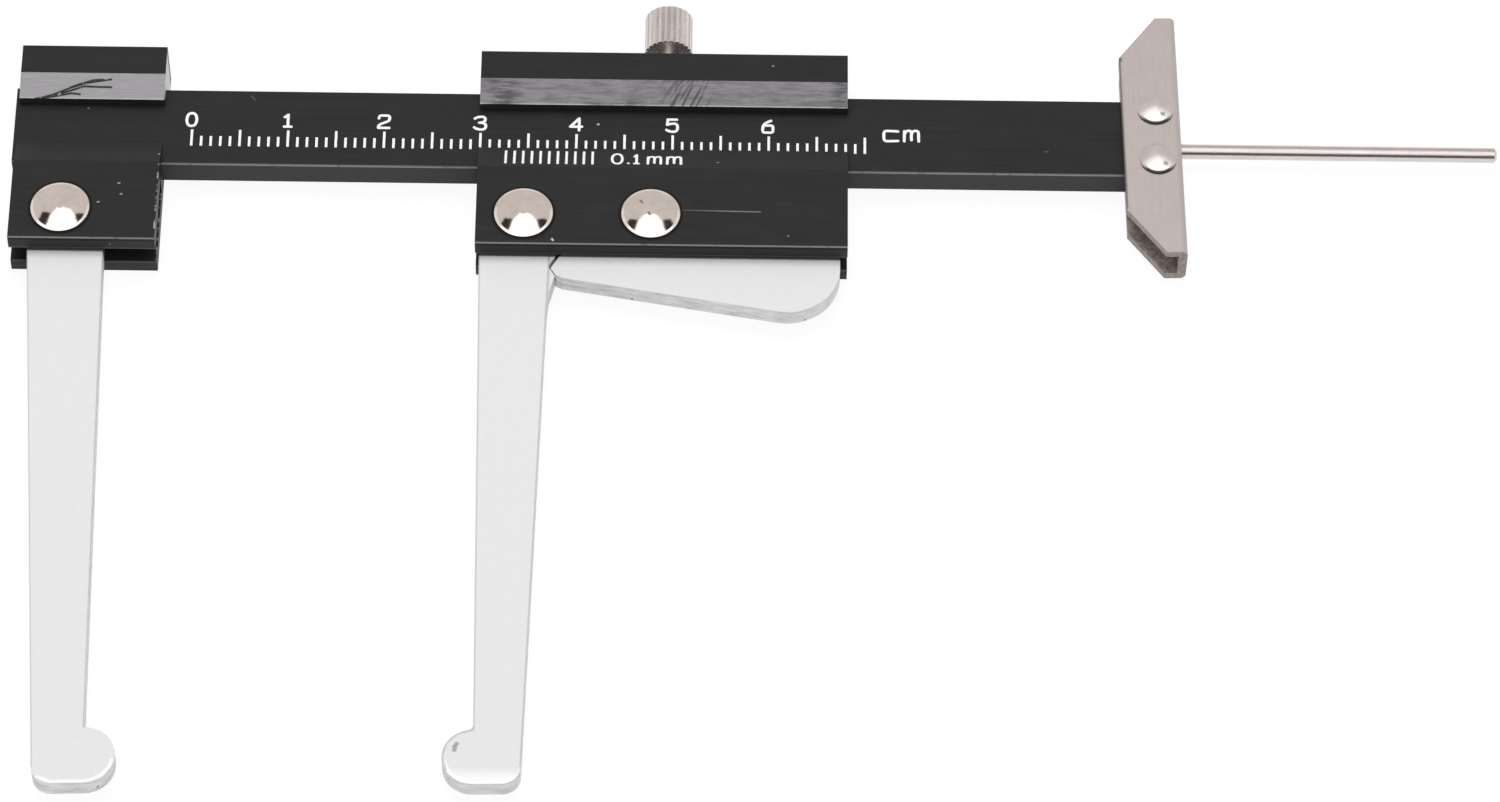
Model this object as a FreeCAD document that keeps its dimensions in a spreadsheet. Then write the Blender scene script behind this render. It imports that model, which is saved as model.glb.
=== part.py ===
import FreeCAD, Part
import Sketcher
import os
import re

# Brake disc gauge lying on its back. Millimetres.
# X runs along the beam from the scale's zero, Y away from the jaws, Z up from the table.
# The bodies are then moved so that the fixed head's back face has its centre at the origin.

# Values. Each one is written once and every sketch and feature is bound to it.
SIZES = [
    # Beam
    ("beam_width", 9.35),
    ("beam_thickness", 3.0),
    ("beam_back", 1.45),
    ("beam_end_reach", 0.4),
    ("beam_right", 101.7),
    ("groove_width", 1.7),
    ("groove_depth", 1.8),
    ("groove_start", 3.0),
    # Section that the head and the slider share
    ("section_front", -10.6),
    ("section_rear", 13.95),
    ("section_height", 6.0),
    ("slot_bottom", 1.8),
    ("slot_height", 2.2),
    ("slot_root", -1.5),
    ("bevel_ridge", -0.9),
    ("window_front", 2.4),
    ("window_rear", 7.35),
    ("rail_ridge", 10.3),
    ("lip_edge", 0.15),
    ("rail_lip", 1.0),
    ("edge_round", 0.3),
    ("slot_round", 0.2),
    ("running_gap", 0.05),
    ("gib_room", 0.4),
    # Head and slider
    ("head_right", -3.0),
    ("head_length", 15.1),
    ("slider_left", 29.88),
    ("slider_length", 38.32),
    ("head_pin_spacing", 9.0),
    ("head_pin_radius", 1.0),
    ("head_pin_depth", 1.9),
    ("back_recess", 0.1),
    # Jaws
    ("jaw_thickness", 2.1),
    ("fixed_lean", 1.65),
    ("fixed_inner", 4.39),
    ("fixed_width", 8.0),
    ("fixed_taper", 0.0456),
    ("fixed_toe_radius", 3.15),
    ("fixed_toe_drop", 64.0),
    ("moving_lean", 1.2),
    ("moving_inner", 4.62),
    ("moving_width", 7.43),
    ("moving_taper", 0.0423),
    ("moving_toe_radius", 3.07),
    ("moving_toe_drop", 63.45),
    ("toe_fillet", 0.6),
    ("heel_fillet", 1.9),
    ("jaw_crown", 1.6),
    ("jaw_top_fall", 0.25),
    ("jaw_shoulder", 3.7),
    ("fixed_rivet_x", -12.9),
    ("moving_rivet_x", 34.8),
    ("rivet_y", -6.8),
    # Latch
    ("lever_rivet_x", 47.9),
    ("lever_rivet_y", -6.7),
    ("nose_reach", 11.6),
    ("nose_angle", 208.4),
    ("nose_end_angle", 213.2),
    ("latch_gap", 0.13),
    ("notch_angle", 206.8),
    ("notch_end_angle", 213.5),
    ("flank_angle", 60.0),
    ("flank_length", 2.2),
    ("lobe_right", 19.55),
    ("lobe_radius", 5.5),
    ("lever_slope", 9.8),
    ("lever_low_x", -9.0),
    ("lever_low_y", -6.72),
    ("lever_high_y", -1.8),
    ("lever_crown", 3.9),
    # Rivets
    ("rivet_head_radius", 3.03),
    ("rivet_head_rise", 0.45),
    ("rivet_head_edge", 0.12),
    ("rivet_pip_radius", 0.4),
    ("rivet_pip_rise", 0.06),
    ("rivet_shank_radius", 1.7),
    ("rivet_foot_radius", 2.5),
    ("rivet_foot_depth", 0.8),
    ("pivot_gap", 0.05),
    ("rivet_gap", 0.02),
    # Lever spring
    ("spring_thickness", 0.3),
    ("spring_width", 1.6),
    ("spring_start", 4.9),
    ("spring_bend", 9.6),
    ("spring_tip", 15.0),
    ("spring_drop", 5.0),
    # Gib spring and lock screw
    ("gib_thickness", 0.35),
    ("gib_end_inset", 2.0),
    ("gib_height", 2.6),
    ("screw_x", 49.4),
    ("screw_z", 3.2),
    ("screw_radius", 1.0),
    ("screw_gap", 0.05),
    ("pilot_radius", 0.6),
    ("pilot_length", 0.3),
    ("knob_near", 15.65),
    ("knob_length", 4.85),
    ("knob_radius", 2.5),
    ("knob_round", 0.35),
    ("flute_count", 24.0),
    ("flute_depth", 0.22),
    ("flute_half_width", 0.2),
    # Depth rod and its anchor
    ("rod_radius", 0.78),
    ("rod_z", 2.25),
    ("rod_tip", 136.0),
    ("rod_tip_chamfer", 0.25),
    ("rod_tenon_radius", 0.42),
    ("anchor_offset", 9.0),
    ("anchor_length", 8.0),
    ("anchor_plate_width", 4.4),
    ("anchor_plate_bottom", 0.5),
    ("lug_length", 3.0),
    ("lug_width", 1.5),
    ("lug_top", 3.1),
    # Depth bridge
    ("bridge_end_gap", 0.3),
    ("sheet", 0.9),
    ("bridge_reach", 5.62),
    ("bridge_under_reach", 5.35),
    ("bridge_front", 14.85),
    ("bridge_rear", 15.0),
    ("bridge_lean", 1.2),
    ("fold_radius", 0.7),
    ("rear_cut_x", 4.0),
    ("rear_cut_y", 5.2),
    ("front_cut_x", 3.9),
    ("front_cut_y", 5.4),
    ("rod_hole_gap", 0.1),
    ("bridge_rivet_x", -2.1),
    ("bridge_rivet_spread", 3.15),
    ("bridge_rivet_head", 1.85),
    ("bridge_rivet_shank", 1.0),
    ("bridge_rivet_edge", 0.12),
    ("bridge_rivet_rise", 0.65),
    ("bridge_rivet_foot_rise", 0.25),
]

doc = FreeCAD.newDocument("BrakeDiscGauge")
sheet = doc.addObject("Spreadsheet::Sheet", "Sizes")
NAMES = set()
for row, (name, size) in enumerate(SIZES, start=1):
    sheet.set("A%d" % row, name)
    sheet.set("B%d" % row, repr(size))
    sheet.setAlias("B%d" % row, name)
    NAMES.add(name)
doc.recompute()


def bound(text):
    """The expression with each value's name pointed at the sheet."""
    def point(found):
        word = found.group(0)
        return "Sizes." + word if word in NAMES else word
    return re.sub(r"[a-z][a-z_]+", point, text)


def number(text):
    """The present value of an expression."""
    found = sheet.evalExpression(bound(text))
    return float(found.Value) if hasattr(found, "Value") else float(found)


def derive(name, text):
    """A value that follows from others, kept on the sheet like the rest."""
    row = len(NAMES) + 1
    sheet.set("A%d" % row, name)
    sheet.set("B%d" % row, "=" + re.sub(r"Sizes\.", "", bound(text)))
    sheet.setAlias("B%d" % row, name)
    NAMES.add(name)
    doc.recompute()


derive("origin_x", "head_right - head_length / 2")
derive("origin_y", "(section_front + section_rear) / 2")
derive("bridge_web_x", "beam_right + bridge_end_gap + sheet / 2")
derive("beam_left", "head_right - head_length - beam_end_reach")
derive("beam_front_face", "beam_back + beam_thickness")
derive("beam_middle", "beam_width / 2")
derive("jaw_back", "slot_bottom + (slot_height - jaw_thickness) / 2")
derive("notch_reach", "nose_reach + latch_gap")
derive("gib_y", "beam_width + running_gap")
derive("anchor_x", "slider_left + anchor_offset")
derive("rod_shoulder", "anchor_x + anchor_length / 2 + lug_length / 2")


def new_body(label, x="0", y="0", z="0", turn=None):
    """A body set in place by expressions, with an optional turn about Z in degrees."""
    body = doc.addObject("PartDesign::Body", label)
    body.Label = label
    if turn is not None:
        body.Placement = FreeCAD.Placement(FreeCAD.Vector(0, 0, 0), FreeCAD.Rotation(FreeCAD.Vector(0, 0, 1), 1))
        body.setExpression("Placement.Rotation.Angle", bound(turn))
    body.setExpression("Placement.Base.x", bound(x + " - origin_x"))
    body.setExpression("Placement.Base.y", bound(y + " - origin_y"))
    body.setExpression("Placement.Base.z", bound(z))
    return body


def new_sketch(body, name, role, lift="0"):
    """A sketch on one of the body's own planes, lifted off it by an expression."""
    sketch = body.newObject("Sketcher::SketchObject", name)
    plane = [item for item in body.Origin.OriginFeatures if item.Role == role][0]
    sketch.AttachmentSupport = (plane, [""])
    sketch.MapMode = "FlatFace"
    sketch.setExpression("AttachmentOffset.Base.z", bound(lift))
    return sketch


def hold_point(sketch, geometry, end, spot):
    """Fix a sketch point at two expressions."""
    for kind, text in zip(("DistanceX", "DistanceY"), spot):
        index = sketch.addConstraint(Sketcher.Constraint(kind, -1, 1, geometry, end, number(text)))
        sketch.setExpression("Constraints[%d]" % index, bound(text))


def draw_loop(sketch, spots, domes=()):
    """A closed outline through the spots. A side named in domes is an arc centred on the vertical axis."""
    first = sketch.GeometryCount
    count = len(spots)
    places = [(number(x), number(y)) for x, y in spots]
    for i in range(count):
        x1, y1 = places[i]
        x2, y2 = places[(i + 1) % count]
        if i in domes:
            middle = (x1 * x1 + y1 * y1 - x2 * x2 - y2 * y2) / (2 * (y1 - y2))
            centre = FreeCAD.Vector(0, middle, 0)
            start = FreeCAD.Vector(x1, y1, 0)
            end = FreeCAD.Vector(x2, y2, 0)
            radius = (start - centre).Length
            circle = Part.Circle(centre, FreeCAD.Vector(0, 0, 1), radius)
            a, b = circle.parameter(start), circle.parameter(end)
            sketch.addGeometry(Part.ArcOfCircle(circle, min(a, b), max(a, b)), False)
        else:
            sketch.addGeometry(Part.LineSegment(FreeCAD.Vector(x1, y1, 0), FreeCAD.Vector(x2, y2, 0)), False)
    for i in range(count):
        following = (i + 1) % count
        last = 1 if i in domes and places[i][1] > places[following][1] else 2
        begin = 2 if following in domes and places[following][1] > places[(following + 1) % count][1] else 1
        sketch.addConstraint(Sketcher.Constraint("Coincident", first + i, last, first + following, begin))
        begin = 2 if i in domes and places[i][1] > places[following][1] else 1
        hold_point(sketch, first + i, begin, spots[i])
    for i in domes:
        sketch.addConstraint(Sketcher.Constraint("PointOnObject", first + i, 3, -2))


def draw_circle(sketch, x, y, radius):
    centre = FreeCAD.Vector(number(x), number(y), 0)
    index = sketch.addGeometry(Part.Circle(centre, FreeCAD.Vector(0, 0, 1), number(radius)), False)
    hold_point(sketch, index, 3, (x, y))
    held = sketch.addConstraint(Sketcher.Constraint("Radius", index, number(radius)))
    sketch.setExpression("Constraints[%d]" % held, bound(radius))


def pad(body, name, sketch, length):
    feature = body.newObject("PartDesign::Pad", name)
    feature.Profile = sketch
    feature.setExpression("Length", bound(length))
    doc.recompute()
    return feature


def pocket(body, name, sketch, length, along=False):
    """Cut a sketch into the body. With along the cut runs the way that its plane looks."""
    before = body.Shape.Volume
    feature = body.newObject("PartDesign::Pocket", name)
    feature.Profile = sketch
    feature.Reversed = along
    feature.setExpression("Length", bound(length))
    doc.recompute()
    if not before - body.Shape.Volume > 1e-6:
        raise RuntimeError("%s cut nothing" % name)
    return feature


def revolve(body, name, sketch, role):
    axis = [item for item in body.Origin.OriginFeatures if item.Role == role][0]
    feature = body.newObject("PartDesign::Revolution", name)
    feature.Profile = sketch
    feature.ReferenceAxis = (axis, [""])
    feature.Angle = 360
    doc.recompute()
    return feature


def upright_edges(feature, x, y):
    """Names of the edges that stand along Z at a spot of the body's own frame."""
    found = []
    for index, edge in enumerate(feature.Shape.Edges, start=1):
        a, b = edge.Vertexes[0].Point, edge.Vertexes[-1].Point
        upright = abs(a.z - b.z) > 0.5 and abs(a.x - b.x) < 1e-4 and abs(a.y - b.y) < 1e-4
        if upright and abs(a.x - number(x)) < 0.02 and abs(a.y - number(y)) < 0.02:
            found.append("Edge%d" % index)
    return found


def long_edges(feature, spots):
    """Names of the edges that run along X through the given Y and Z."""
    found = []
    for index, edge in enumerate(feature.Shape.Edges, start=1):
        a, b = edge.Vertexes[0].Point, edge.Vertexes[-1].Point
        along = abs(a.x - b.x) > 1 and abs(a.y - b.y) < 1e-4 and abs(a.z - b.z) < 1e-4
        if along and any(abs(a.y - number(y)) < 0.01 and abs(a.z - number(z)) < 0.01 for y, z in spots):
            found.append("Edge%d" % index)
    return found


def fillet(body, name, feature, edges, radius):
    if not edges:
        raise RuntimeError("%s found no edge" % name)
    rounded = body.newObject("PartDesign::Fillet", name)
    rounded.Base = (feature, edges)
    rounded.setExpression("Radius", bound(radius))
    doc.recompute()
    return rounded


def section_spots(rear_room):
    """The extruded section of the head and the slider, as Y and Z."""
    under = "beam_front_face + running_gap"
    floor = "beam_back - running_gap"
    rear = "beam_width + " + rear_room
    slot_top = "slot_bottom + slot_height"
    return [
        ("section_front", "0"),
        ("section_rear", "0"),
        ("section_rear", "section_height"),
        ("rail_ridge", "section_height"),
        ("window_rear", under + " + rail_lip"),
        ("window_rear", under),
        (rear, under),
        (rear, floor),
        ("-running_gap", floor),
        ("-running_gap", under),
        ("window_front", under),
        ("window_front", under + " + lip_edge"),
        ("bevel_ridge", "section_height"),
        ("section_front", "section_height"),
        ("section_front", slot_top),
        ("slot_root", slot_top),
        ("slot_root", "slot_bottom"),
        ("section_front", "slot_bottom"),
    ]


def section_body(label, left, length, rear_room):
    """A length of the section with its four outer edges eased."""
    body = new_body(label, left)
    sketch = new_sketch(body, label + "_section", "YZ_Plane")
    draw_loop(sketch, section_spots(rear_room))
    feature = pad(body, label + "_extrusion", sketch, length)
    corners = [
        ("section_front", "0"),
        ("section_rear", "0"),
        ("section_rear", "section_height"),
        ("section_front", "section_height"),
    ]
    feature = fillet(body, label + "_eased_edges", feature, long_edges(feature, corners), "edge_round")
    mouth = [
        ("section_front", "slot_bottom"),
        ("section_front", "slot_bottom + slot_height"),
    ]
    fillet(body, label + "_slot_mouth", feature, long_edges(feature, mouth), "slot_round")
    return body


def rivet_hole(body, name, x, y):
    """A shank hole with a countersink for the foot, from the back."""
    sketch = new_sketch(body, name + "_bore", "XY_Plane")
    draw_circle(sketch, x, y, "rivet_shank_radius + rivet_gap")
    pocket(body, name, sketch, "section_height", along=True)
    foot = new_sketch(body, name + "_foot", "XY_Plane")
    draw_circle(foot, x, y, "rivet_foot_radius + rivet_gap")
    pocket(body, name + "_countersink", foot, "back_recess + rivet_foot_depth", along=True)


# Beam
beam = new_body("beam", "beam_left")
sketch = new_sketch(beam, "beam_section", "YZ_Plane")
draw_loop(sketch, [
    ("0", "beam_back"),
    ("beam_width", "beam_back"),
    ("beam_width", "beam_front_face"),
    ("0", "beam_front_face"),
])
pad(beam, "beam_bar", sketch, "beam_right - beam_left")
sketch = new_sketch(beam, "beam_groove_outline", "XY_Plane", "beam_back")
draw_loop(sketch, [
    ("groove_start - beam_left", "beam_middle - groove_width / 2"),
    ("beam_right - beam_left + 1", "beam_middle - groove_width / 2"),
    ("beam_right - beam_left + 1", "beam_middle + groove_width / 2"),
    ("groove_start - beam_left", "beam_middle + groove_width / 2"),
])
pocket(beam, "beam_groove", sketch, "groove_depth", along=True)
sketch = new_sketch(beam, "beam_pin_circles", "XY_Plane", "beam_back")
for side in ("-", "+"):
    middle = "origin_x - beam_left %s head_pin_spacing / 2" % side
    draw_circle(sketch, middle, "beam_middle", "head_pin_radius + rivet_gap")
pocket(beam, "beam_pin_holes", sketch, "head_pin_depth + running_gap", along=True)
sketch = new_sketch(beam, "beam_rivet_circles", "XY_Plane", "beam_back")
for side in ("-", "+"):
    x = "bridge_web_x - beam_left + bridge_rivet_x * cos(bridge_lean * 1deg)"
    x += " - (%s bridge_rivet_spread) * sin(bridge_lean * 1deg)" % side
    y = "beam_middle + bridge_rivet_x * sin(bridge_lean * 1deg)"
    y += " + (%s bridge_rivet_spread) * cos(bridge_lean * 1deg)" % side
    draw_circle(sketch, x.replace("(+ ", "("), y.replace("(+ ", "("), "bridge_rivet_shank + rivet_gap")
pocket(beam, "beam_rivet_holes", sketch, "beam_thickness", along=True)

# Fixed head
fixed_head = section_body("fixed_head", "head_right - head_length", "head_length", "running_gap")
rivet_hole(fixed_head, "head_rivet_hole", "fixed_rivet_x - head_right + head_length", "rivet_y")
sketch = new_sketch(fixed_head, "head_pin_circles", "XY_Plane")
for side in ("-", "+"):
    draw_circle(sketch, "head_length / 2 %s head_pin_spacing / 2" % side, "beam_middle",
                "head_pin_radius + rivet_gap")
pocket(fixed_head, "head_pin_holes", sketch, "beam_back", along=True)

# Pins that hold the head on the beam
for label, side in (("head_pin_left", "-"), ("head_pin_right", "+")):
    body = new_body(label, "origin_x %s head_pin_spacing / 2" % side, "beam_middle", "back_recess")
    sketch = new_sketch(body, label + "_circle", "XY_Plane")
    draw_circle(sketch, "0", "0", "head_pin_radius")
    pad(body, label + "_stem", sketch, "beam_back + head_pin_depth - back_recess")

# Slider
slider = section_body("slider_frame", "slider_left", "slider_length", "gib_room + running_gap")
rivet_hole(slider, "jaw_rivet_hole", "moving_rivet_x - slider_left", "rivet_y")
rivet_hole(slider, "lever_rivet_hole", "lever_rivet_x - slider_left", "lever_rivet_y")
sketch = new_sketch(slider, "screw_circle", "XZ_Plane", "-section_rear - 1")
draw_circle(sketch, "screw_x - slider_left", "screw_z", "screw_radius + screw_gap")
pocket(slider, "screw_hole", sketch, "section_rear - beam_width + 1", along=True)
sketch = new_sketch(slider, "anchor_seat_outline", "XY_Plane", "anchor_plate_bottom - running_gap")
draw_loop(sketch, [
    ("anchor_offset - running_gap", "beam_middle - anchor_plate_width / 2 - running_gap"),
    ("anchor_offset + anchor_length + running_gap", "beam_middle - anchor_plate_width / 2 - running_gap"),
    ("anchor_offset + anchor_length + running_gap", "beam_middle + anchor_plate_width / 2 + running_gap"),
    ("anchor_offset - running_gap", "beam_middle + anchor_plate_width / 2 + running_gap"),
])
pocket(slider, "anchor_seat", sketch, "beam_back - anchor_plate_bottom", along=True)


def jaw_spots(jaw, side):
    """The jaw's plate seen from the front, about its rivet. Side is + where the gap lies to the right."""
    top = "(slot_root - rivet_y - running_gap - (%s1) * %s_inner * sin(%s_lean * 1deg))" % (side, jaw, jaw)
    top += " / cos(%s_lean * 1deg)" % jaw
    length = "(%s_toe_drop + %s_toe_radius)" % (jaw, jaw)
    outer = "(%s_inner - %s_width + %s_taper * " % (jaw, jaw, jaw)
    spots = [
        (jaw + "_inner", top),
        (jaw + "_inner", "-" + length),
        (outer + length + ")", "-" + length),
        (outer + "0)", "0"),
        (outer + "0)", top + " - jaw_crown"),
        ("0", top + " - jaw_top_fall"),
    ]
    return [("(%s1) * (%s)" % (side, x), y) for x, y in spots]


def jaw_body(jaw, side, spots):
    """A jaw plate with its rounded toe, its heel round and its rivet hole."""
    label = jaw + "_jaw"
    body = new_body(label, jaw + "_rivet_x", "rivet_y", "jaw_back", jaw + "_lean")
    outline = new_sketch(body, label + "_outline", "XY_Plane")
    draw_loop(outline, spots)
    pad(body, label + "_plate", outline, "jaw_thickness")
    toe = new_sketch(body, label + "_toe_circle", "XY_Plane")
    inner = "(%s1) * %s_inner" % (side, jaw)
    drop, radius = jaw + "_toe_drop", jaw + "_toe_radius"
    draw_circle(toe, inner, "-" + drop, radius)
    feature = pad(body, label + "_toe", toe, "jaw_thickness")
    corner = upright_edges(feature, inner, "-%s + %s" % (drop, radius))
    feature = fillet(body, label + "_toe_fillet", feature, corner, "toe_fillet")
    feature = fillet(body, label + "_heel", feature, upright_edges(feature, *spots[2]), "heel_fillet")
    hole = new_sketch(body, label + "_rivet_circle", "XY_Plane")
    draw_circle(hole, "0", "0", "rivet_shank_radius + pivot_gap")
    pocket(body, label + "_rivet_hole", hole, "jaw_thickness", along=True)
    return body


# Fixed jaw
jaw_body("fixed", "+", jaw_spots("fixed", "+"))


def turned(x, y):
    """A spot given from the moving jaw's rivet along X and Y, in the jaw's own leaning frame."""
    return (
        "(%s) * cos(moving_lean * 1deg) + (%s) * sin(moving_lean * 1deg)" % (x, y),
        "(%s) * cos(moving_lean * 1deg) - (%s) * sin(moving_lean * 1deg)" % (y, x),
    )


# Moving jaw. Its latch notch has a lower flank at one radius from the lever's rivet.
pitch_x = "lever_rivet_x - moving_rivet_x"
pitch_y = "lever_rivet_y - rivet_y"
notch_x = pitch_x + " + notch_reach * cos(notch_angle * 1deg)"
notch_y = pitch_y + " + notch_reach * sin(notch_angle * 1deg)"
bulge_x = pitch_x + " + notch_reach * cos(notch_end_angle * 1deg)"
bulge_y = pitch_y + " + notch_reach * sin(notch_end_angle * 1deg)"
spots = jaw_spots("moving", "-")
notch = [
    ("moving_width - moving_inner - moving_taper * 10.2", "-10.2"),
    ("2.6", "-8.5"),
    turned(bulge_x + " - 0.1", bulge_y + " - 0.35"),
    turned(bulge_x, bulge_y),
    turned(notch_x, notch_y),
    turned(notch_x + " + flank_length * cos(flank_angle * 1deg)",
           notch_y + " + flank_length * sin(flank_angle * 1deg)"),
    ("jaw_shoulder", "-2.6"),
    ("jaw_shoulder", "1.6"),
]
jaw_body("moving", "-", spots[:3] + notch + spots[5:])

# Release lever, about its rivet. The nose stands in the notch.
lever = new_body("release_lever", "lever_rivet_x", "lever_rivet_y", "jaw_back")
sketch = new_sketch(lever, "lever_outline", "XY_Plane")
nose = ("nose_reach * cos(nose_angle * 1deg)", "nose_reach * sin(nose_angle * 1deg)")
lobe_corner_y = "lever_low_y - (lobe_right - lever_low_x) * tan(lever_slope * 1deg)"
draw_loop(sketch, [
    nose,
    ("nose_reach * cos(nose_end_angle * 1deg)", "nose_reach * sin(nose_end_angle * 1deg)"),
    ("lever_low_x", "lever_low_y"),
    ("lobe_right", lobe_corner_y),
    ("lobe_right", "lever_high_y"),
    ("5.0", "2.2"),
    ("2.0", "lever_crown"),
    ("-2.0", "lever_crown"),
    ("-6.5", "-0.8"),
    (nose[0] + " + 1.7 * cos(flank_angle * 1deg)", nose[1] + " + 1.7 * sin(flank_angle * 1deg)"),
])
feature = pad(lever, "lever_plate", sketch, "jaw_thickness")
feature = fillet(lever, "lever_lobe", feature, upright_edges(feature, "lobe_right", lobe_corner_y), "lobe_radius")
feature = fillet(lever, "lever_heel", feature, upright_edges(feature, "lobe_right", "lever_high_y"), "toe_fillet")
sketch = new_sketch(lever, "lever_rivet_circle", "XY_Plane")
draw_circle(sketch, "0", "0", "rivet_shank_radius + pivot_gap")
pocket(lever, "lever_bore", sketch, "jaw_thickness", along=True)

# Lever spring, a bent strip between the slot's root and the lever's upper edge
root = "slot_root - lever_rivet_y - running_gap"
spring = new_body("lever_spring", "lever_rivet_x", "lever_rivet_y",
                  "slot_bottom + (slot_height - spring_width) / 2")
sketch = new_sketch(spring, "spring_outline", "XY_Plane")
draw_loop(sketch, [
    ("spring_start", root),
    ("spring_start", root + " - spring_thickness"),
    ("spring_bend", root + " - spring_thickness"),
    ("spring_tip", root + " - spring_drop - spring_thickness"),
    ("spring_tip + 0.9", root + " - spring_drop + 0.1"),
    ("spring_tip + 0.75", root + " - spring_drop + 0.35"),
    ("spring_tip", root + " - spring_drop + 0.1"),
    ("spring_bend + 0.2", root),
])
pad(spring, "spring_strip", sketch, "spring_width")


def rivet_body(label, x, y):
    """A domed rivet: foot in the back wall, shank, and a low dome with a small pip."""
    body = new_body(label, x, y)
    profile = new_sketch(body, label + "_profile", "XZ_Plane")
    edge = "section_height + rivet_head_edge"
    crown = "section_height + rivet_head_rise"
    draw_loop(profile, [
        ("0", "back_recess"),
        ("rivet_foot_radius", "back_recess"),
        ("rivet_foot_radius", "back_recess + rivet_foot_depth - 0.02"),
        ("rivet_shank_radius", "back_recess + rivet_foot_depth - 0.02"),
        ("rivet_shank_radius", "section_height"),
        ("rivet_head_radius", "section_height"),
        ("rivet_head_radius", edge),
        ("rivet_pip_radius", crown),
        ("rivet_pip_radius", crown + " + rivet_pip_rise"),
        ("0", crown + " + rivet_pip_rise"),
    ], domes=(6,))
    revolve(body, label + "_turned", profile, "Z_Axis")
    return body


# Rivets
rivet_body("fixed_jaw_rivet", "fixed_rivet_x", "rivet_y")
rivet_body("moving_jaw_rivet", "moving_rivet_x", "rivet_y")
rivet_body("lever_rivet", "lever_rivet_x", "lever_rivet_y")

# Gib spring, a thin strip that the lock screw presses on the beam's rear edge
gib = new_body("gib_leaf_spring", "slider_left + gib_end_inset", "gib_y",
               "beam_back + (beam_thickness - gib_height) / 2")
sketch = new_sketch(gib, "gib_outline", "XY_Plane")
draw_loop(sketch, [
    ("0", "0"),
    ("slider_length - 2 * gib_end_inset", "0"),
    ("slider_length - 2 * gib_end_inset", "gib_thickness"),
    ("0", "gib_thickness"),
])
pad(gib, "gib_strip", sketch, "gib_height")
sketch = new_sketch(gib, "gib_pilot_circle", "XZ_Plane", "-1")
draw_circle(sketch, "screw_x - slider_left - gib_end_inset",
            "screw_z - beam_back - (beam_thickness - gib_height) / 2", "pilot_radius + screw_gap")
pocket(gib, "gib_pilot_hole", sketch, "2", along=True)

# Lock screw, turned about Y, with straight flutes round its knob
screw = new_body("lock_screw", "screw_x", "0", "screw_z")
sketch = new_sketch(screw, "screw_profile", "XY_Plane")
shoulder = "gib_y + gib_thickness + running_gap"
draw_loop(sketch, [
    ("0", shoulder + " - pilot_length"),
    ("pilot_radius", shoulder + " - pilot_length"),
    ("pilot_radius", shoulder),
    ("screw_radius", shoulder),
    ("screw_radius", "knob_near"),
    ("knob_radius", "knob_near"),
    ("knob_radius", "knob_near + knob_length - knob_round"),
    ("knob_radius - knob_round", "knob_near + knob_length"),
    ("0", "knob_near + knob_length"),
])
revolve(screw, "screw_turned", sketch, "Y_Axis")
sketch = new_sketch(screw, "flute_outline", "XZ_Plane", "-knob_near - knob_length - 1")
draw_loop(sketch, [
    ("knob_radius - flute_depth", "0"),
    ("knob_radius + flute_depth", "2 * flute_half_width"),
    ("knob_radius + flute_depth", "-2 * flute_half_width"),
])
flute = pocket(screw, "flute", sketch, "knob_length + 2", along=True)
flutes = screw.newObject("PartDesign::PolarPattern", "flutes")
flutes.Originals = [flute]
flutes.Axis = ([item for item in screw.Origin.OriginFeatures if item.Role == "Y_Axis"][0], [""])
flutes.Angle = 360
flutes.setExpression("Occurrences", bound("flute_count"))
screw.Tip = flutes
doc.recompute()

# Depth rod, turned about X, with a thin tenon at its left end
rod = new_body("depth_rod", "rod_shoulder", "beam_middle", "rod_z")
sketch = new_sketch(rod, "rod_profile", "XY_Plane")
draw_loop(sketch, [
    ("-lug_length", "0"),
    ("rod_tip - rod_shoulder", "0"),
    ("rod_tip - rod_shoulder", "rod_radius - rod_tip_chamfer"),
    ("rod_tip - rod_shoulder - rod_tip_chamfer", "rod_radius"),
    ("0", "rod_radius"),
    ("0", "rod_tenon_radius"),
    ("-lug_length", "rod_tenon_radius"),
])
revolve(rod, "rod_turned", sketch, "X_Axis")

# Rod anchor: a plate in the slider's back wall with a lug that stands in the beam's groove
anchor = new_body("rod_anchor", "anchor_x", "beam_middle", "anchor_plate_bottom")
sketch = new_sketch(anchor, "anchor_plate_outline", "XY_Plane")
draw_loop(sketch, [
    ("0", "-anchor_plate_width / 2"),
    ("anchor_length", "-anchor_plate_width / 2"),
    ("anchor_length", "anchor_plate_width / 2"),
    ("0", "anchor_plate_width / 2"),
])
pad(anchor, "anchor_plate", sketch, "beam_back - running_gap - anchor_plate_bottom")
sketch = new_sketch(anchor, "anchor_lug_outline", "XY_Plane")
draw_loop(sketch, [
    ("anchor_length / 2 - lug_length / 2", "-lug_width / 2"),
    ("anchor_length / 2 + lug_length / 2", "-lug_width / 2"),
    ("anchor_length / 2 + lug_length / 2", "lug_width / 2"),
    ("anchor_length / 2 - lug_length / 2", "lug_width / 2"),
])
pad(anchor, "anchor_lug", sketch, "lug_top - anchor_plate_bottom")
sketch = new_sketch(anchor, "anchor_bore_circle", "YZ_Plane")
draw_circle(sketch, "0", "rod_z - anchor_plate_bottom", "rod_tenon_radius + rivet_gap")
pocket(anchor, "anchor_bore", sketch, "anchor_length", along=True)

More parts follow.
